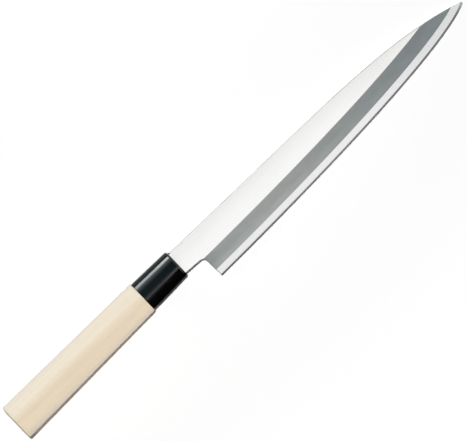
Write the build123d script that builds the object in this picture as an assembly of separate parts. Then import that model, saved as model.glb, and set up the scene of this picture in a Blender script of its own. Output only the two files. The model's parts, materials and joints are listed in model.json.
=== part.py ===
from build123d import *
import math
import os

os.makedirs("parts", exist_ok=True)

# A yanagiba: a long single-bevel slicing knife, in a wooden handle of chestnut section.
#
# Each piece is drawn in the blade's own frame, in millimetres. X runs from the ferrule's front
# face to the tip. Y runs from the cutting edge to the spine, and is zero midway across the neck.
# Z runs from the hollow-ground back face up through the blade's thickness. At the end, the whole
# knife is laid down as it lies on a table, on the grip and on its edge near the tip.

# Blade outline
blade_length = 210.0
neck_length = 12.55
neck_height = 13.65
neck_flare = 0.645
heel_depth = 14.07
heel_slant = 0.55
heel_round = 2.6
tip_drop = 11.775
tip_round = 0.9
tip_rounded_off = 1.36
spine_straight_share = 0.328
# How far along each curve its two middle control points lie, and how far across.
edge_control_shares = ((0.3, 0.031), (0.897, 0.236))
spine_control_shares = ((0.512, 0.0), (0.749, 0.03))

# Blade thickness and grinds
spine_thickness = 3.0
tip_thickness = 2.0
hard_steel_thickness = 1.1
hard_steel_tip_thickness = 0.915
bevel_width = 13.4
bevel_land = 0.25
micro_bevel_width = 0.53
micro_bevel_tip_width = 1.33
edge_land = 0.04
spine_chamfer = 0.35
hollow_depth = 0.25
hollow_edge_rim = 1.2
hollow_spine_rim = 2.2
hollow_heel_margin = 2.5
hollow_tip_margin = 12.0
hollow_station_shares = (0.0, 0.25, 0.5, 0.7, 0.85, 1.0)
bevel_station_shares = (0.0, 0.1, 0.25, 0.4, 0.55, 0.7, 0.82, 0.9, 0.96, 1.0)

# Tang
tang_length = 86.0
tang_root_height = 9.4
tang_end_height = 5.0

# Handle
handle_length = 122.65
handle_axis_lift = 0.23
handle_axis_drop = 2.2
butt_height = 21.9
butt_thickness = 18.4
grip_front_height = 19.6
grip_front_thickness = 16.2
butt_round = 0.8
grip_front_round = 0.5
grip_ridge_round = 1.2

# Ferrule
ferrule_length = 26.15
ferrule_front_height = 17.05
ferrule_front_thickness = 14.2
ferrule_step = 0.7
ferrule_wall = 1.5
ferrule_front_wall = 2.5
ferrule_front_round = 1.3
ferrule_back_round = 0.2
ferrule_ridge_round = 0.4
tenon_gap = 0.4

# Resin
seal_gap = 0.35
seal_corner_length = 1.1
seal_corner_height = 0.7
fill_gap = 0.5

# The chestnut section's shape, as shares of its height and of its reach to either side.
back_reach_share = 0.48
ridge_reach_share = 1 - back_reach_share
ridge_height_share = -0.1
round_share = 0.5523
above_ridge_shares = ((0.5, 0.6), (0.22, 0.95))
below_ridge_shares = ((-0.3, 0.83), (-0.5, 0.55))

# How the knife lies: the place along its edge, near the tip, that touches the table.
touch_share = 0.97

# How far a cutting shape runs past what it cuts.
overrun = 10.0

spine_y = neck_height / 2
heel_top = Vector(neck_length, -spine_y - neck_flare)
heel = heel_top + Vector(heel_slant, -heel_depth)
# Where the edge and the spine would meet, before the tip is rounded.
tip = Vector(blade_length + tip_rounded_off, spine_y - tip_drop)
spine_bend = Vector(blade_length * spine_straight_share, spine_y)
tang_middle_z = spine_thickness / 2


def control_points(start, end, shares):
    """Two points between start and end, given as shares of the way along X and along Y."""
    span = end - start
    return [start + Vector(span.X * along, span.Y * across) for along, across in shares]


edge_curve = Bezier(heel, *control_points(heel, tip, edge_control_shares), tip)
spine_curve = Bezier(spine_bend, *control_points(spine_bend, tip, spine_control_shares), tip)


def along_blade(at_ferrule, at_tip, x):
    """A size that changes evenly from the ferrule's front face to the tip."""
    return at_ferrule + (at_tip - at_ferrule) * x / blade_length


def flat_height(x):
    """Height of the blade's flat upper face above the back face, which thins to the tip."""
    return along_blade(spine_thickness, tip_thickness, x)


def bevel_width_at(x):
    return bevel_width


def micro_bevel_width_at(x):
    """The micro-bevel widens towards the tip."""
    return along_blade(micro_bevel_width, micro_bevel_tip_width, x)


def micro_bevel_height(x):
    """Height of the main bevel where the micro-bevel starts."""
    share = micro_bevel_width_at(x) / bevel_width
    return bevel_land + (flat_height(x) - bevel_land) * share


def handle_axis_y(x):
    """The handle's axis drops a little towards its butt."""
    return handle_axis_lift + handle_axis_drop * x / handle_length


# Blade


def blade_outline():
    """The blade in plan, with the rounded corner between neck and heel and a sharp tip."""
    outline = Wire(
        [
            *Polyline((0, -spine_y), heel_top, heel).edges(),
            edge_curve.edge(),
            spine_curve.edge(),
            *Polyline(spine_bend, (0, spine_y), (0, -spine_y)).edges(),
        ]
    )
    face = Face(outline)
    corner = face.vertices().sort_by_distance(heel_top)[0]
    return face.fillet_2d(heel_round, [corner])


def tip_waste(outline):
    """What rounding the tip takes off, from the arc of the rounding outwards."""
    point = outline.vertices().sort_by_distance(tip)[0]
    arc = outline.fillet_2d(tip_round, [point]).edges().sort_by_distance(tip)[0]
    ends = [arc @ 1, arc @ 0]
    outside = [end + (end - arc.arc_center) * overrun for end in ends]
    beyond = [Vector(tip.X + overrun, corner.Y) for corner in outside]
    around = Polyline(ends[0], outside[0], *beyond, outside[1], ends[1])
    waste = Face(Wire([arc, *around.edges()]))
    return extrude(waste, spine_thickness, dir=(0, 0, 1))


def bevel_section(foot, direction, width, low, high):
    """A triangle across the edge. Its long side is the bevel, from low at the edge to high."""
    inward = Vector(-direction.Y, direction.X)
    slope = (high - low) / width
    outside = foot - inward * overrun + Vector(0, 0, low - slope * overrun)
    inside = foot + inward * (width + overrun) + Vector(0, 0, high + slope * overrun)
    above = outside + Vector(0, 0, (inside - outside).Z)
    return Face(Wire.make_polygon([outside, inside, above]))


def bevel_cutter(width_at, low, high_at):
    """What a bevel grinds away, all along the edge and past both its ends."""
    sections = []
    for share in bevel_station_shares:
        foot = edge_curve.position_at(share)
        direction = edge_curve.tangent_at(share)
        profile = (direction, width_at(foot.X), low, high_at(foot.X))
        if share == bevel_station_shares[0]:
            sections.append(bevel_section(foot - direction * overrun, *profile))
        sections.append(bevel_section(foot, *profile))
        if share == bevel_station_shares[-1]:
            sections.append(bevel_section(foot + direction * overrun, *profile))
    return loft(sections)


def crossing_y(curve, x):
    """Y where a curve crosses the plane at x."""
    return curve.edge().intersect(Plane((x, 0, 0), z_dir=(1, 0, 0)))[0].center().Y


def hollow_sections():
    """Arcs across the back face, of one radius, inside a rim along the edge and the spine."""
    start = heel.X + hollow_heel_margin
    length = blade_length - hollow_tip_margin - start
    spans = []
    for share in hollow_station_shares:
        x = start + length * share
        low = crossing_y(edge_curve, x) + hollow_edge_rim
        high = spine_y if x < spine_bend.X else crossing_y(spine_curve, x)
        spans.append((x, low, high - hollow_spine_rim))
    widest = max(high - low for _, low, high in spans)
    for x, low, high in spans:
        depth = hollow_depth * ((high - low) / widest) ** 2
        arc = ThreePointArc((x, low, 0), (x, (low + high) / 2, depth), (x, high, 0))
        below = Polyline((x, high, 0), (x, high, -overrun), (x, low, -overrun), (x, low, 0))
        yield Face(Wire([arc.edge(), *below.edges()]))


def tapering_plane(at_ferrule, at_tip):
    """A plane above the back face, at one height at the ferrule and another at the tip."""
    along = Vector(blade_length, 0, at_tip - at_ferrule)
    return Plane((0, 0, at_ferrule), x_dir=along, z_dir=along.cross(Vector(0, 1, 0)))


def tang():
    """The tang, which narrows from the neck's shoulders and follows the handle's axis."""
    end_y = handle_axis_y(-tang_length)
    outline = tang_outline(tang_root_height, tang_end_height, tang_length, end_y)
    return extrude(outline, spine_thickness, dir=(0, 0, 1))


def tang_outline(root_height, end_height, length, end_y):
    """A taper from the ferrule's front face back into the handle."""
    return Face(
        Wire.make_polygon(
            [
                (0, root_height / 2),
                (0, -root_height / 2),
                (-length, end_y - end_height / 2),
                (-length, end_y + end_height / 2),
            ]
        )
    )


def ground_blade():
    """The whole blade of both steels: plate, thinned to the tip, bevelled and hollow-ground."""
    outline = blade_outline()
    plate = extrude(outline, spine_thickness, dir=(0, 0, 1))
    top = tapering_plane(spine_thickness, tip_thickness)
    blade = split(plate, bisect_by=top, keep=Keep.BOTTOM)
    spine_face = blade.faces().sort_by(Axis.Y)[-1]
    blade = chamfer(spine_face.edges().sort_by(SortBy.LENGTH)[-2:], spine_chamfer)
    blade -= bevel_cutter(bevel_width_at, bevel_land, flat_height)
    blade -= bevel_cutter(micro_bevel_width_at, edge_land, micro_bevel_height)
    blade -= loft(list(hollow_sections()))
    return blade - tip_waste(outline)


# Handle


def chestnut(x, height, thickness, ridge_round):
    """The handle's section at x: round at the back, with a soft ridge on the bevel's side."""
    middle = Vector(x, handle_axis_y(x), tang_middle_z)
    back = thickness * back_reach_share
    reach = thickness * ridge_reach_share

    def place(across, up):
        return middle + Vector(0, across, up)

    top = place(height / 2, 0)
    bottom = place(-height / 2, 0)
    behind = place(0, -back)
    ridge = place(height * ridge_height_share, reach)
    above = [place(height * across, reach * up) for across, up in above_ridge_shares]
    below = [place(height * across, reach * up) for across, up in below_ridge_shares]
    before_ridge = ridge + (above[-1] - ridge).normalized() * ridge_round
    after_ridge = ridge + (below[0] - ridge).normalized() * ridge_round
    side = height / 2 * round_share
    curves = [
        Bezier(top, *above, before_ridge),
        Bezier(before_ridge, ridge, after_ridge),
        Bezier(after_ridge, *below, bottom),
        Bezier(bottom, place(-height / 2, -back * round_share), place(-side, -back), behind),
        Bezier(behind, place(side, -back), place(height / 2, -back * round_share), top),
    ]
    return Face(Wire([curve.edge() for curve in curves]))


def round_ends(body, back_round, front_round):
    """The body with the edges round its back and front faces rounded."""
    body = fillet(body.faces().sort_by(Axis.X)[-1].edges(), front_round)
    return fillet(body.faces().sort_by(Axis.X)[0].edges(), back_round)


def ferrule_body():
    """The ferrule's outer form, before it is hollowed."""
    back_height = grip_front_height - 2 * ferrule_step
    back_thickness = grip_front_thickness - 2 * ferrule_step
    body = loft(
        [
            chestnut(-ferrule_length, back_height, back_thickness, ferrule_ridge_round),
            chestnut(0, ferrule_front_height, ferrule_front_thickness, ferrule_ridge_round),
        ],
        ruled=True,
    )
    return round_ends(body, ferrule_back_round, ferrule_front_round)


def socket():
    """The space inside the ferrule, which the grip's tenon fills but for a gap at its end."""
    ends = [
        (-ferrule_length, grip_front_height, grip_front_thickness, ferrule_step + ferrule_wall),
        (-ferrule_front_wall, ferrule_front_height, ferrule_front_thickness, ferrule_wall),
    ]
    sections = [
        chestnut(x, height - 2 * inset, thickness - 2 * inset, ferrule_ridge_round)
        for x, height, thickness, inset in ends
    ]
    return loft(sections, ruled=True)


def slot():
    """The slot through the ferrule's front wall, with a gap all round the tang's root."""
    height = tang_root_height + 2 * seal_gap
    thickness = spine_thickness + 2 * seal_gap
    centre = Pos(-ferrule_front_wall / 2, 0, tang_middle_z)
    return centre * Box(ferrule_front_wall, height, thickness)


def grip_body():
    """The wooden grip behind the ferrule, with softened ends and a soft ridge."""
    body = loft(
        [
            chestnut(-handle_length, butt_height, butt_thickness, grip_ridge_round),
            chestnut(-ferrule_length, grip_front_height, grip_front_thickness, grip_ridge_round),
        ],
        ruled=True,
    )
    return round_ends(body, butt_round, grip_front_round)


def tenon():
    """The grip's front end, turned down to fit the ferrule's socket."""
    front = Plane((-ferrule_front_wall - tenon_gap, 0, 0), z_dir=(1, 0, 0))
    return split(socket(), bisect_by=front, keep=Keep.BOTTOM)


def tang_bore():
    """The bore for the tang, through the tenon and into the grip."""
    length = tang_length + fill_gap
    root = tang_root_height + 2 * fill_gap
    end = tang_end_height + 2 * fill_gap
    outline = tang_outline(root, end, length, handle_axis_y(-length))
    block = Pos(0, 0, -fill_gap) * extrude(outline, spine_thickness + 2 * fill_gap, dir=(0, 0, 1))
    front = Plane((-ferrule_front_wall, 0, 0), z_dir=(1, 0, 0))
    return split(block, bisect_by=front, keep=Keep.BOTTOM)


# Resin


def seal():
    """Resin in the ferrule's slot, flush with its front, and a dab in the spine's corner."""
    corner = Face(
        Wire.make_polygon(
            [
                (0, spine_y),
                (seal_corner_length, spine_y),
                (0, spine_y + seal_corner_height),
            ]
        )
    )
    corner = extrude(corner, spine_thickness, dir=(0, 0, 1))
    return slot() + corner


# Pieces in the blade's frame

blade = ground_blade()
shank = tang()
clad_plane = tapering_plane(hard_steel_thickness, hard_steel_tip_thickness)
hard_steel = split(blade, bisect_by=clad_plane, keep=Keep.BOTTOM)
soft_steel = split(blade, bisect_by=clad_plane, keep=Keep.TOP) + shank
steel = blade + shank
bore = tang_bore()
ferrule = ferrule_body() - socket() - slot()
grip = grip_body() + tenon() - bore
slot_seal = seal() - steel
tang_fill = bore - shank

pieces = {
    "soft_steel_blade": soft_steel,
    "hard_steel_edge": hard_steel,
    "ferrule": ferrule,
    "wooden_grip": grip,
    "tang_fill": tang_fill,
    "slot_seal": slot_seal,
}


# Laying the knife down


def lying_angle(touch, along):
    """How far the knife turns about the edge's tangent until the grip's front touches too.

    The grip's back is near enough half an ellipse, of half height a and half thickness b. Its
    centre is c above the back face's plane and d from the tangent, so it touches the table at
    the angle whose tangent t satisfies (d t + c)^2 = b^2 + a^2 t^2.
    """
    middle = Vector(-ferrule_length, handle_axis_y(-ferrule_length))
    a = grip_front_height / 2
    b = grip_front_thickness * back_reach_share
    c = tang_middle_z
    d = abs((middle - touch).cross(along).Z)
    square = d * d - a * a
    t = (math.sqrt(c * c * d * d + square * (b * b - c * c)) - c * d) / square
    return math.degrees(math.atan(t))


touch = edge_curve.position_at(touch_share)
touch_direction = edge_curve.tangent_at(touch_share)
table_turn = lying_angle(touch, touch_direction)
laid = {
    name: Compound(piece.rotate(Axis(touch, touch_direction), table_turn).solids())
    for name, piece in pieces.items()
}
whole = Compound([solid for piece in laid.values() for solid in piece.solids()])
box = whole.bounding_box(optimal=True)
to_origin = Pos(-box.center().X, -box.center().Y, -box.min.Z)

for name, piece in laid.items():
    export_step(to_origin * piece, f"parts/{name}.step")

print(f"turned {table_turn:.2f} degrees about the edge's tangent at x {touch.X:.1f}")
print("size", box.size)
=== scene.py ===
import json
import math

import bpy
from mathutils import Matrix, Vector


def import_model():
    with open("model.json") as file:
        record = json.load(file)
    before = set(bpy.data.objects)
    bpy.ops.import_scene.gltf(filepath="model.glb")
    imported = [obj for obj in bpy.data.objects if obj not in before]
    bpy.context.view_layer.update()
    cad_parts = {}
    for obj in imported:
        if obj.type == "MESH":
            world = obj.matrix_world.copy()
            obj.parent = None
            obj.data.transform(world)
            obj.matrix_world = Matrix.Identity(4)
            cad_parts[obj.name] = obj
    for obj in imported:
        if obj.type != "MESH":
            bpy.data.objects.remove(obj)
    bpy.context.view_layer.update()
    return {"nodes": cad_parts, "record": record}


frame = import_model()

# The blade's own frame, as in the model: X from the ferrule's front face to the tip, Y towards the
# spine, Z up from the back face. The mounts on the blade's flat and on the butt give its axes.
MOUNTS = {mount["name"]: mount for mount in frame["record"]["mounts"]}
BUTT_X = -0.12265
BUTT_Y = -0.00197
TANG_MIDDLE_Z = 0.0015

# Camera: the photograph is taken from straight above, through a long lens. VIEW_CENTRE is the
# place in the blade's frame that lies in the picture's middle.
CAMERA_TURN = math.radians(43.76)
CAMERA_HEIGHT = 6.0
VIEW_WIDTH = 0.25299
VIEW_CENTRE = (0.03813, -0.0044, 0.0)
SENSOR_WIDTH = 0.036

# Millimetres in a metre.
MM = 1000.0


def blade_axes():
    """The blade's frame as a matrix in the row's frame."""
    x_axis = -Vector(MOUNTS["butt_face"]["axis"])
    z_axis = Vector(MOUNTS["rack_face"]["axis"])
    z_axis = (z_axis - x_axis * z_axis.dot(x_axis)).normalized()
    y_axis = z_axis.cross(x_axis)
    turn = Matrix((x_axis, y_axis, z_axis)).transposed()
    origin = Vector(MOUNTS["butt_face"]["pos_m"]) - turn @ Vector((BUTT_X, BUTT_Y, TANG_MIDDLE_Z))
    return Matrix.Translation(origin) @ turn.to_4x4()


BLADE = blade_axes()

# Places that the finishes follow, in the blade's frame and in millimetres, as in the model.
FERRULE_BACK_X = -26.15
TIP_X = 210.0
# The bevel's grey part, from the heel to where it runs out near the tip.
HEEL_X = 13.0
BEVEL_END_X = 205.0
# The heel's upright edge: its top, how it slants, and how far in its painted shade reaches.
HEEL_TOP = (12.55, -7.47)
HEEL_SLOPE = 0.039
HEEL_SHADE_REACH = 0.9
# The handle's axis at the ferrule's front, and half the grip's width at the butt and the ferrule.
AXIS_FRONT_Y = 0.23
GRIP_HALF_WIDTHS = (10.95, 9.8)
# The ferrule's ridge, at its back end and at its front.
RIDGE_Y = (-2.3, -2.05)
# The weld between the two steels, at the ferrule's front and at the tip.
WELD_Z = (1.1, 0.915)

BLACK = (0.0, 0.0, 0.0)
WHITE = (1.0, 1.0, 1.0)


# Nodes


class Nodes:
    """A node tree, with short calls that add and join its nodes."""

    def __init__(self, tree):
        self.tree = tree

    def node(self, kind, inputs=(), **settings):
        """A node of one kind. Its inputs are values or other nodes' outputs, by name or place."""
        node = self.tree.nodes.new("ShaderNode" + kind)
        for key, value in settings.items():
            setattr(node, key, value)
        for key, value in dict(inputs).items():
            self.put(value, node.inputs[key])
        return node

    def put(self, value, socket):
        if isinstance(value, bpy.types.NodeSocket):
            self.tree.links.new(value, socket)
        else:
            socket.default_value = value

    def math(self, operation, a, b=0.0, clamp=False):
        return self.node("Math", {0: a, 1: b}, operation=operation, use_clamp=clamp).outputs[0]

    def product(self, value, *factors):
        for factor in factors:
            value = self.math("MULTIPLY", value, factor)
        return value

    def part(self, vector, axis):
        return self.node("SeparateXYZ", {0: vector}).outputs[axis]

    def stretched(self, vector, factors):
        return self.node("VectorMath", {0: vector, 1: factors}, operation="MULTIPLY").outputs[0]

    def moved(self, vector, offset):
        return self.node("VectorMath", {0: vector, 1: offset}, operation="ADD").outputs[0]

    def between(self, value, start, end, to_start=0.0, to_end=1.0, smooth=True):
        """value from start to end, taken to to_start to to_end and held beyond them."""
        inputs = {
            "Value": value,
            "From Min": start,
            "From Max": end,
            "To Min": to_start,
            "To Max": to_end,
        }
        kind = "SMOOTHSTEP" if smooth else "LINEAR"
        return self.node("MapRange", inputs, interpolation_type=kind).outputs["Result"]

    def level(self, factor, none, full):
        """none where a factor is 0 and full where it is 1, evenly between."""
        return self.between(factor, 0.0, 1.0, none, full, smooth=False)

    def graded(self, noise, low, high, spread=0.2, smooth=True):
        """low to high as a noise rises from spread under its middle to spread over it."""
        return self.between(noise, 0.5 - spread, 0.5 + spread, low, high, smooth)

    def mix(self, factor, a, b, blend="MIX"):
        """Two colours mixed."""
        node = self.node("Mix", data_type="RGBA", blend_type=blend)
        for key, value in ((0, factor), (6, a), (7, b)):
            if isinstance(value, tuple):
                value = (*value, 1.0)
            self.put(value, node.inputs[key])
        return node.outputs[2]

    def shaded(self, colour, value):
        """A colour multiplied by a number."""
        grey = self.node("CombineXYZ", {0: value, 1: value, 2: value}).outputs[0]
        return self.mix(1.0, colour, grey, "MULTIPLY")

    def ramp(self, value, *stops):
        """Colours along a value, as (place, colour) pairs."""
        ramp = self.node("ValToRGB", {0: value})
        elements = ramp.color_ramp.elements
        while len(elements) < len(stops):
            elements.new(1.0)
        for element, (place, colour) in zip(elements, stops):
            element.position = place
            element.color = (*colour, 1.0)
        return ramp.outputs[0]

    def noise(self, place, pace, detail=2.0, roughness=0.5, distortion=0.0):
        """Noise over a place. Its pace is the number of grains per millimetre in x, y and z."""
        inputs = {
            "Vector": self.stretched(place, pace),
            "Scale": 1.0,
            "Detail": detail,
            "Roughness": roughness,
            "Distortion": distortion,
        }
        return self.node("TexNoise", inputs).outputs["Fac"]

    def seen_directly(self):
        """1 for what the camera sees, also in a reflection or through glass."""
        path = self.node("LightPath").outputs
        seen = self.math("MAXIMUM", path["Is Camera Ray"], path["Is Glossy Ray"])
        return self.math("MAXIMUM", seen, path["Is Transmission Ray"])


class Finish(Nodes):
    """A material's nodes."""

    def __init__(self, name):
        self.material = bpy.data.materials.new(name)
        self.material.use_nodes = True
        super().__init__(self.material.node_tree)
        self.surface = self.tree.nodes["Principled BSDF"]

    def set(self, **inputs):
        """Sets the shader's own sockets, whose names are given with _ for a space."""
        for key, value in inputs.items():
            self.put(value, self.surface.inputs[key.replace("_", " ")])

    def show(self, shader):
        """Makes another node the material's surface."""
        self.put(shader.outputs[0], self.tree.nodes["Material Output"].inputs["Surface"])

    def place(self):
        """Coordinates in the blade's frame, in millimetres."""
        coordinates = self.node("TexCoord").outputs["Object"]
        location, turn, _ = BLADE.decompose()
        moved = self.node(
            "Mapping",
            {"Vector": coordinates, "Location": location, "Rotation": turn.to_euler()},
            vector_type="TEXTURE",
        )
        return self.stretched(moved.outputs[0], (MM, MM, MM))

    def painted_heel_shade(self, place, tone):
        """tone on the heel's upright edge, a painted shade, and 1 inwards of it."""
        down = self.math("SUBTRACT", HEEL_TOP[1], self.part(place, 1))
        line = self.math("ADD", HEEL_TOP[0], self.math("MULTIPLY", down, HEEL_SLOPE))
        inside = self.math("SUBTRACT", self.part(place, 0), line)
        rim = self.between(inside, HEEL_SHADE_REACH, HEEL_SHADE_REACH / 2)
        return self.level(rim, 1.0, tone)

    def bump(self, height, depth, strength):
        """Fine relief, of a depth in millimetres."""
        inputs = {"Height": height, "Distance": depth / MM, "Strength": strength}
        self.set(Normal=self.node("Bump", inputs).outputs[0])


# Wood, ferrule and resin

HEARTWOOD = (0.775, 0.655, 0.492)
PAINTED_LIGHT_WOOD = (0.80, 0.715, 0.575)
PAINTED_RIM_HIGHLIGHT = (0.83, 0.762, 0.68)
# The way from the tree's heart to the blade's origin, in millimetres. The scale gives a ring about
# every 1.8 mm.
FROM_HEART = (0.0, 41.0, -33.0)
RING_SCALE = 0.17


def wood():
    """Bare magnolia: pale, straight and even, with faint rings, fibres and short fine pores, and
    painted light and shade across it.
    """
    finish = Finish("magnolia")
    place = finish.place()
    along = finish.part(place, 0)
    across = finish.part(place, 1)
    wander = finish.noise(place, (0.012, 0.05, 0.05), detail=1.0)
    fibres = finish.noise(place, (0.045, 2.4, 2.4), detail=5.0, roughness=0.62)
    streaks = finish.noise(place, (0.012, 0.5, 0.5), detail=3.0)
    pores = finish.between(finish.noise(place, (0.5, 7.0, 7.0), detail=1.0), 0.62, 0.74)

    # Rings round a heart that lies well outside the grip.
    from_heart = finish.moved(place, FROM_HEART)
    bent = finish.moved(from_heart, finish.stretched(wander, (0.0, 5.0, 5.0)))
    rings = finish.node(
        "TexWave",
        {"Vector": bent, "Scale": RING_SCALE, "Distortion": 0.0},
        wave_type="RINGS",
        rings_direction="X",
        wave_profile="SAW",
    ).outputs["Fac"]
    late_wood = finish.between(rings, 0.55, 1.0)

    # Painted light: the wood is paler towards the spine's side, where the light falls.
    inward = finish.math("ADD", across, finish.math("MULTIPLY", wander, 6.0))
    colour = finish.mix(finish.between(inward, 0.0, 5.4), HEARTWOOD, PAINTED_LIGHT_WOOD)

    # Painted highlight: the rounded shoulders are paler and greyer than the faces, most on the
    # edge's side.
    butt_x, butt_y = BUTT_X * MM, BUTT_Y * MM
    axis = finish.between(along, butt_x, 0.0, butt_y, AXIS_FRONT_Y, smooth=False)
    half = finish.between(along, butt_x, FERRULE_BACK_X, *GRIP_HALF_WIDTHS, smooth=False)
    off_axis = finish.math("DIVIDE", finish.math("SUBTRACT", across, axis), half)
    rim_highlight_share = finish.between(off_axis, -0.5, 0.5, 0.92, 0.68)
    painted_rim_highlight = finish.between(finish.math("ABSOLUTE", off_axis), 0.76, 0.98)
    painted_rim_highlight = finish.math("MULTIPLY", painted_rim_highlight, rim_highlight_share)
    # End grain shows on the butt: darker, with its rings clear.
    normal = finish.node("TexCoord").outputs["Normal"]
    end_grain = finish.between(finish.math("ABSOLUTE", finish.part(normal, 0)), 0.6, 0.95)
    painted_rim_highlight = finish.math("SUBTRACT", painted_rim_highlight, end_grain, clamp=True)
    # The painted highlight is kept to the shoulders that face up.
    upper = finish.between(finish.part(normal, 2), 0.02, 0.3)
    painted_rim_highlight = finish.math("MULTIPLY", painted_rim_highlight, upper)
    colour = finish.mix(painted_rim_highlight, colour, PAINTED_RIM_HIGHLIGHT)

    tone = finish.product(
        finish.graded(fibres, 0.955, 1.035, spread=0.25, smooth=False),
        finish.graded(streaks, 0.98, 1.015),
        # Painted shade towards the spine's side and painted light towards the edge's side, evening
        # out the lamps across the grip.
        finish.between(across, 2.0, 5.5, 1.0, 0.945),
        finish.between(across, -2.0, -7.5, 1.0, 1.045),
    )
    ring_depth = finish.level(end_grain, 0.018, 0.11)
    tone = finish.math("SUBTRACT", tone, finish.math("MULTIPLY", late_wood, ring_depth))
    tone = finish.math("SUBTRACT", tone, finish.math("MULTIPLY", pores, 0.10))
    tone = finish.math("MULTIPLY", tone, finish.between(end_grain, 0.0, 1.0, 1.0, 0.97))
    finish.set(
        Base_Color=finish.shaded(colour, tone),
        Roughness=finish.graded(fibres, 0.48, 0.62, spread=0.3),
        Specular_IOR_Level=0.3,
    )
    relief = finish.math("SUBTRACT", fibres, finish.math("MULTIPLY", pores, 0.9))
    finish.bump(relief, 0.06, 0.35)
    return finish.material


def ferrule_plastic():
    """Black moulded resin with faint swirls from handling, most polished at its front."""
    finish = Finish("black_plastic")
    place = finish.place()
    along = finish.part(place, 0)
    across = finish.part(place, 1)
    swirls = finish.noise(place, (0.25, 1.6, 1.6), detail=4.0, distortion=0.8)
    skin = finish.noise(place, (0.8, 0.8, 0.8), detail=2.0)
    polish = finish.between(along, -16.0, -3.0)
    # The spine's side is glossier.
    spine_side = finish.between(across, 5.0, 5.9)
    spine_sheen = finish.math("MULTIPLY", spine_side, finish.level(polish, 0.06, 0.2))
    # So is the ridge, rubbed by the hand, and both most of all near the front.
    ridge = finish.between(along, FERRULE_BACK_X, 0.0, *RIDGE_Y, smooth=False)
    off_ridge = finish.math("ABSOLUTE", finish.math("SUBTRACT", across, ridge))
    rubbed = finish.between(off_ridge, 0.7, 0.3)
    ridge_sheen = finish.math("MULTIPLY", finish.level(polish, 0.12, 0.6), rubbed)
    sheen = finish.math("ADD", spine_sheen, ridge_sheen)
    rough = finish.graded(swirls, 0.14, 0.21)
    finish.set(
        Base_Color=finish.mix(swirls, (0.0009, 0.001, 0.001), (0.0014, 0.0015, 0.0015)),
        Roughness=finish.math("SUBTRACT", rough, finish.math("MULTIPLY", polish, 0.05)),
        Specular_IOR_Level=finish.math("ADD", 0.5, sheen),
    )
    finish.bump(skin, 0.04, 0.15)
    return finish.material


def resin():
    """Dark cast resin, slightly uneven."""
    finish = Finish("dark_resin")
    lumps = finish.noise(finish.place(), (2.0, 2.0, 2.0), detail=3.0)
    finish.set(
        Base_Color=finish.mix(lumps, (0.012, 0.011, 0.010), (0.03, 0.028, 0.026)),
        Roughness=finish.graded(lumps, 0.3, 0.45),
    )
    finish.bump(lumps, 0.1, 0.4)
    return finish.material


# Steel


def flat_steel():
    """The flat's bright satin: hairlines along the blade and a slight cloudiness."""
    finish = Finish("satin_flat")
    place = finish.place()
    hairlines = finish.noise(place, (0.05, 9.0, 9.0), detail=4.0, roughness=0.7)
    cloud = finish.noise(place, (0.035, 0.12, 0.12), detail=2.0)
    # Painted light: brighter towards the edge's side. A little duller towards the tip.
    rise = finish.between(finish.part(place, 1), 8.0, -4.0)
    colour = finish.mix(rise, (0.905, 0.895, 0.87), (0.985, 0.98, 0.965))
    tone = finish.product(
        finish.graded(hairlines, 0.993, 1.006, smooth=False),
        finish.graded(cloud, 0.99, 1.005, spread=0.15),
        finish.between(finish.part(place, 0), 115.0, 160.0, 1.0, 0.94),
    )
    finish.set(
        Base_Color=finish.shaded(colour, tone),
        Metallic=1.0,
        Roughness=finish.graded(hairlines, 0.22, 0.28),
    )
    finish.bump(hairlines, 0.005, 0.15)
    return finish.material


def hazed_steel():
    """The soft iron of the bevel, stoned to an even matte grey haze."""
    finish = Finish("hazed_bevel")
    place = finish.place()
    along = finish.part(place, 0)
    grit = finish.noise(place, (2.5, 6.0, 6.0), detail=3.0, roughness=0.65)
    mottle = finish.noise(place, (0.12, 0.35, 0.35), detail=2.0)
    colour = finish.ramp(
        finish.between(along, HEEL_X, BEVEL_END_X, smooth=False),
        (0.0, (0.32, 0.34, 0.336)),
        (0.04, (0.367, 0.386, 0.379)),
        (0.25, (0.38, 0.388, 0.379)),
        (0.6, (0.287, 0.304, 0.304)),
        (0.8, (0.24, 0.258, 0.266)),
        (1.0, (0.213, 0.243, 0.253)),
    )
    # The haze thickens towards the weld with the hard steel, whose height falls to the tip.
    weld = finish.between(along, 0.0, TIP_X, *WELD_Z, smooth=False)
    haze = finish.between(finish.math("SUBTRACT", finish.part(place, 2), weld), 0.7, 0.0)
    haze = finish.math("MULTIPLY", haze, finish.between(along, HEEL_X, 150.0, 0.16, 0.07))
    tone = finish.product(
        finish.graded(grit, 0.93, 1.07, smooth=False),
        finish.graded(mottle, 0.97, 1.03, spread=0.15),
        finish.math("ADD", haze, 1.0),
        # Painted shade along the heel's upright edge.
        finish.painted_heel_shade(place, 0.9),
    )
    finish.set(
        Base_Color=finish.shaded(colour, tone),
        Metallic=1.0,
        Roughness=finish.graded(grit, 0.44, 0.54),
    )
    finish.bump(grit, 0.02, 0.3)
    return finish.material


def hard_bevel_steel():
    """The hard steel's bright band, ground across the edge."""
    finish = Finish("ground_edge_band")
    place = finish.place()
    scratches = finish.noise(place, (5.0, 0.35, 0.35), detail=4.0, roughness=0.7)
    towards_tip = finish.between(finish.part(place, 0), 120.0, TIP_X)
    colour = finish.mix(towards_tip, (0.85, 0.853, 0.848), (0.71, 0.722, 0.72))
    tone = finish.product(
        finish.graded(scratches, 0.965, 1.02, smooth=False),
        # Painted shade along the heel's upright edge.
        finish.painted_heel_shade(place, 0.68),
    )
    finish.set(
        Base_Color=finish.shaded(colour, tone),
        Metallic=1.0,
        Roughness=finish.graded(scratches, 0.22, 0.32),
    )
    finish.bump(scratches, 0.01, 0.3)
    return finish.material


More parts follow.
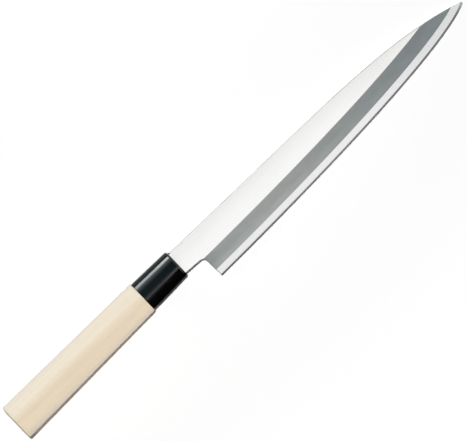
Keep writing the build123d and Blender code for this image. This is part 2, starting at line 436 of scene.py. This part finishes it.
def edge_steel():
    """The micro-bevel at the very edge, painted dark grey as shade along the edge."""
    finish = Finish("painted_shade_edge")
    place = finish.place()
    hone = finish.noise(place, (7.0, 1.0, 1.0), detail=3.0)
    # Painted shade: lighter at the heel, darkest towards the tip, lighter again at the very tip.
    colour = finish.ramp(
        finish.between(finish.part(place, 0), HEEL_X, TIP_X, smooth=False),
        (0.0, (0.30, 0.30, 0.30)),
        (0.25, (0.22, 0.22, 0.22)),
        (0.6, (0.175, 0.175, 0.175)),
        (0.97, (0.16, 0.16, 0.16)),
        (1.0, (0.40, 0.40, 0.40)),
    )
    finish.set(
        Base_Color=finish.shaded(colour, finish.graded(hone, 0.9, 1.1)),
        Metallic=0.4,
        Roughness=finish.graded(hone, 0.24, 0.34),
    )
    finish.bump(hone, 0.005, 0.3)
    return finish.material


def back_steel():
    """The back face: polished in the hollow, with fine grind lines along it."""
    finish = Finish("polished_back")
    lines = finish.noise(finish.place(), (0.06, 6.0, 6.0), detail=4.0, roughness=0.65)
    finish.set(
        Base_Color=finish.mix(lines, (0.74, 0.75, 0.75), (0.86, 0.87, 0.87)),
        Metallic=1.0,
        Roughness=finish.graded(lines, 0.14, 0.22),
    )
    finish.bump(lines, 0.008, 0.3)
    return finish.material


def ground_side_steel():
    """Spine, neck and heel: linished across their width."""
    finish = Finish("linished_sides")
    lines = finish.noise(finish.place(), (6.0, 0.5, 0.5), detail=4.0, roughness=0.7)
    finish.set(
        Base_Color=finish.mix(lines, (0.44, 0.435, 0.43), (0.53, 0.525, 0.518)),
        Metallic=1.0,
        Roughness=finish.graded(lines, 0.26, 0.36),
    )
    finish.bump(lines, 0.01, 0.35)
    return finish.material


# Dressing the nodes

# Which finish each face of the blade has, from how far up it faces.
FLAT_UP = 0.9995
BEVEL_UP = 0.965
MICRO_BEVEL_UP = 0.8
BACK_UP = -0.99


def dress(node, *materials, choose=None):
    """Gives a CAD node its materials. choose gives a face's slot from its normal in the blade."""
    mesh = frame["nodes"][node].data
    mesh.materials.clear()
    for material in materials:
        mesh.materials.append(material)
    if choose:
        to_blade = BLADE.to_3x3().transposed()
        for face in mesh.polygons:
            face.material_index = choose(to_blade @ face.normal)


def soft_steel_face(normal):
    """0 on the flat, 1 on the bevel, 2 on the rest."""
    if normal.z > FLAT_UP:
        return 0
    return 1 if normal.z > MICRO_BEVEL_UP else 2


def hard_steel_face(normal):
    """0 on the bevel, 1 on the micro-bevel, 2 on the back, 3 on the rest."""
    if normal.z > MICRO_BEVEL_UP:
        return 0 if normal.z > BEVEL_UP else 1
    return 2 if normal.z < BACK_UP else 3


side_steel = ground_side_steel()
soft_steels = (flat_steel(), hazed_steel(), side_steel)
dress("soft_steel_blade", *soft_steels, choose=soft_steel_face)
hard_steels = (hard_bevel_steel(), edge_steel(), back_steel(), side_steel)
dress("hard_steel_edge", *hard_steels, choose=hard_steel_face)
dress("ferrule", ferrule_plastic())
dress("wooden_grip", wood())
dark_resin = resin()
dress("tang_fill", dark_resin)
dress("slot_seal", dark_resin)


# Stage

FLOOR_REACH = 8.0
# Across the knife, where the floor's shading starts to fade and where it is gone. The fade is an
# oval, longer along the knife.
FLOOR_FADE = (0.05, 0.12)
FLOOR_OVAL = 4.0
FLOOR_COLOUR = (0.74, 0.74, 0.74)
AMBIENT = (0.05, 0.05, 0.05)


def sheet(name, corners, material):
    """A flat four-cornered stage piece."""
    mesh = bpy.data.meshes.new(name)
    mesh.from_pydata(corners, [], [(0, 1, 2, 3)])
    mesh.materials.append(material)
    piece = bpy.data.objects.new(name, mesh)
    bpy.context.scene.collection.objects.link(piece)
    return piece


def floor_material():
    """Pale grey for the light it throws. It is seen as white, which far out takes no shading."""
    finish = Finish("white_floor")
    seen = finish.seen_directly()
    finish.set(
        Base_Color=finish.mix(seen, FLOOR_COLOUR, WHITE),
        Roughness=1.0,
        Specular_IOR_Level=0.0,
    )
    place = finish.node("TexCoord").outputs["Object"]
    narrowed = finish.stretched(place, (1.0 / FLOOR_OVAL, 1.0, 1.0))
    distance = finish.node("VectorMath", {0: narrowed}, operation="LENGTH").outputs["Value"]
    fade = finish.between(distance, *FLOOR_FADE, 0.0, seen)
    white = finish.node("Emission").outputs[0]
    finish.show(finish.node("MixShader", {0: fade, 1: finish.surface.outputs[0], 2: white}))
    return finish.material


def floor():
    reach = FLOOR_REACH
    corners = [(-reach, -reach, 0), (reach, -reach, 0), (reach, reach, 0), (-reach, reach, 0)]
    sheet("floor", corners, floor_material())


def world():
    made = bpy.data.worlds.new("studio")
    made.use_nodes = True
    bpy.context.scene.world = made
    nodes = Nodes(made.node_tree)
    colour = nodes.mix(nodes.seen_directly(), AMBIENT, WHITE)
    nodes.put(colour, made.node_tree.nodes["Background"].inputs["Color"])


# Flags, which shape the reflections on the gloss

# How far they reach in x: along the whole knife, or at the handle alone.
WHOLE_KNIFE = (-0.25, 0.25)
HANDLE = (-0.17, 0.02)
FLAG_DISTANCE = 0.6
# The height of those that lie just over the floor.
FLOOR_FLAG_Z = 0.0002
DARK_GREEN_GREY = (0.12, 0.235, 0.275)
MIDDLE_GREY = (0.65, 0.75, 0.8)
BRIGHT = (1.6, 1.75, 1.8)
NEAR_BLACK = (0.04, 0.05, 0.05)
FLOOR_GREY = (0.5, 0.55, 0.58)


def around(tilt, distance=FLAG_DISTANCE):
    """(y, z) at a tilt from straight up, in degrees towards the spine's side."""
    angle = math.radians(tilt)
    return distance * math.sin(angle), distance * math.cos(angle)


def flag_material(name, colour):
    """A card that gives back one even colour."""
    finish = Finish(name)
    finish.tree.nodes.remove(finish.surface)
    finish.show(finish.node("Emission", {"Color": (*colour, 1.0)}))
    return finish.material


def flag(name, reach, start, end, colour):
    """A studio flag along the knife, from start to end, each a (y, z). Only reflections show it."""
    low, high = reach
    corners = [(low, *start), (high, *start), (high, *end), (low, *end)]
    piece = sheet(name, corners, flag_material(name, colour))
    piece.visible_camera = False
    piece.visible_diffuse = False
    piece.visible_shadow = False
    piece.visible_transmission = False
    piece.visible_volume_scatter = False


def flags():
    """From the edge's side over to the spine's side."""
    flag("edge_side_flag", HANDLE, (-0.3, 0.0), (-0.3, 0.26), BLACK)
    flag("edge_side_floor_flag", HANDLE, (-0.002, FLOOR_FLAG_Z), (-0.3, FLOOR_FLAG_Z), BLACK)
    flag("spine_side_flag", WHOLE_KNIFE, around(3.0), around(33.0), DARK_GREEN_GREY)
    flag("spine_side_flag_2", HANDLE, around(33.0), around(41.0), MIDDLE_GREY)
    flag("spine_side_flag_3", HANDLE, around(41.0), around(54.0), BRIGHT)
    flag("spine_side_low_flag", HANDLE, (0.39, 0.118), (0.42, 0.0), NEAR_BLACK)
    flag("spine_side_floor_flag", HANDLE, (0.022, FLOOR_FLAG_Z), (0.3, FLOOR_FLAG_Z), FLOOR_GREY)


# Lights and camera

# KEY_LEVEL is how bright the key alone makes a level white surface.
KEY_X = -0.06
KEY_TILT = 8.4
KEY_DISTANCE = 2.0
KEY_SIZE = 0.1
KEY_LEVEL = 0.93
# The strip stands low on the spine's side, aimed at the ferrule, for a line of gloss.
FERRULE_X = -0.056
STRIP_TILT = 63.0
STRIP_DISTANCE = 0.4
STRIP_SIZE = (0.13, 0.2)
STRIP_RADIANCE = 8.0
STRIP_COLOUR = (0.93, 1.03, 1.03)
FILL_DISTANCE = 0.9
FILL_SIZE = (0.08, 1.6)
# Low fills, each with the side that it stands on and its radiance.
FILLS = (
    ("edge_fill", (0.0, -1.0), 9.5),
    ("spine_fill", (0.0, 1.0), 8.0),
    ("butt_fill", (-1.0, 0.0), 2.5),
)


def lamp(name, shape, size, place, radiance, target=(0.0, 0.0, 0.0)):
    """An area lamp of one radiance, aimed at a target. size is its width and height."""
    data = bpy.data.lights.new(name, "AREA")
    data.shape = shape
    data.size, data.size_y = size
    area = size[0] * size[1] * (math.pi / 4 if shape == "ELLIPSE" else 1.0)
    data.energy = radiance * math.pi * area
    made = bpy.data.objects.new(name, data)
    made.location = place
    aim = Vector(target) - made.location
    made.rotation_mode = "QUATERNION"
    made.rotation_quaternion = aim.to_track_quat("-Z", "X" if shape == "RECTANGLE" else "Y")
    made.visible_camera = False
    bpy.context.scene.collection.objects.link(made)
    return made


def lights():
    """A small key almost overhead, on the spine's side, a strip for the gloss, and low fills."""
    y, z = around(KEY_TILT, KEY_DISTANCE)
    solid_angle = math.pi * (KEY_SIZE / 2 / KEY_DISTANCE) ** 2
    radiance = KEY_LEVEL * math.pi / solid_angle
    key = lamp("key", "ELLIPSE", (KEY_SIZE, KEY_SIZE), (KEY_X, y, z), radiance)
    key.visible_glossy = False

    place = (FERRULE_X, *around(STRIP_TILT, STRIP_DISTANCE))
    target = (FERRULE_X, 0.0, 0.0)
    strip = lamp("strip", "RECTANGLE", STRIP_SIZE, place, STRIP_RADIANCE, target)
    strip.data.color = STRIP_COLOUR
    strip.visible_diffuse = False

    for name, side, radiance in FILLS:
        x, y = (FILL_DISTANCE * share for share in side)
        fill = lamp(name, "RECTANGLE", FILL_SIZE, (x, y, FILL_SIZE[0] / 2), radiance)
        fill.visible_glossy = False


def camera():
    data = bpy.data.cameras.new("camera")
    data.sensor_width = SENSOR_WIDTH * MM
    data.lens = SENSOR_WIDTH * MM * CAMERA_HEIGHT / VIEW_WIDTH
    data.clip_start = CAMERA_HEIGHT / 2
    data.clip_end = CAMERA_HEIGHT * 4
    made = bpy.data.objects.new("camera", data)
    above = BLADE @ Vector(VIEW_CENTRE)
    made.location = (above.x, above.y, CAMERA_HEIGHT)
    made.rotation_euler = (0.0, 0.0, -CAMERA_TURN)
    bpy.context.scene.collection.objects.link(made)
    bpy.context.scene.camera = made


floor()
flags()
world()
lights()
camera()
bpy.context.scene.view_settings.view_transform = "Standard"
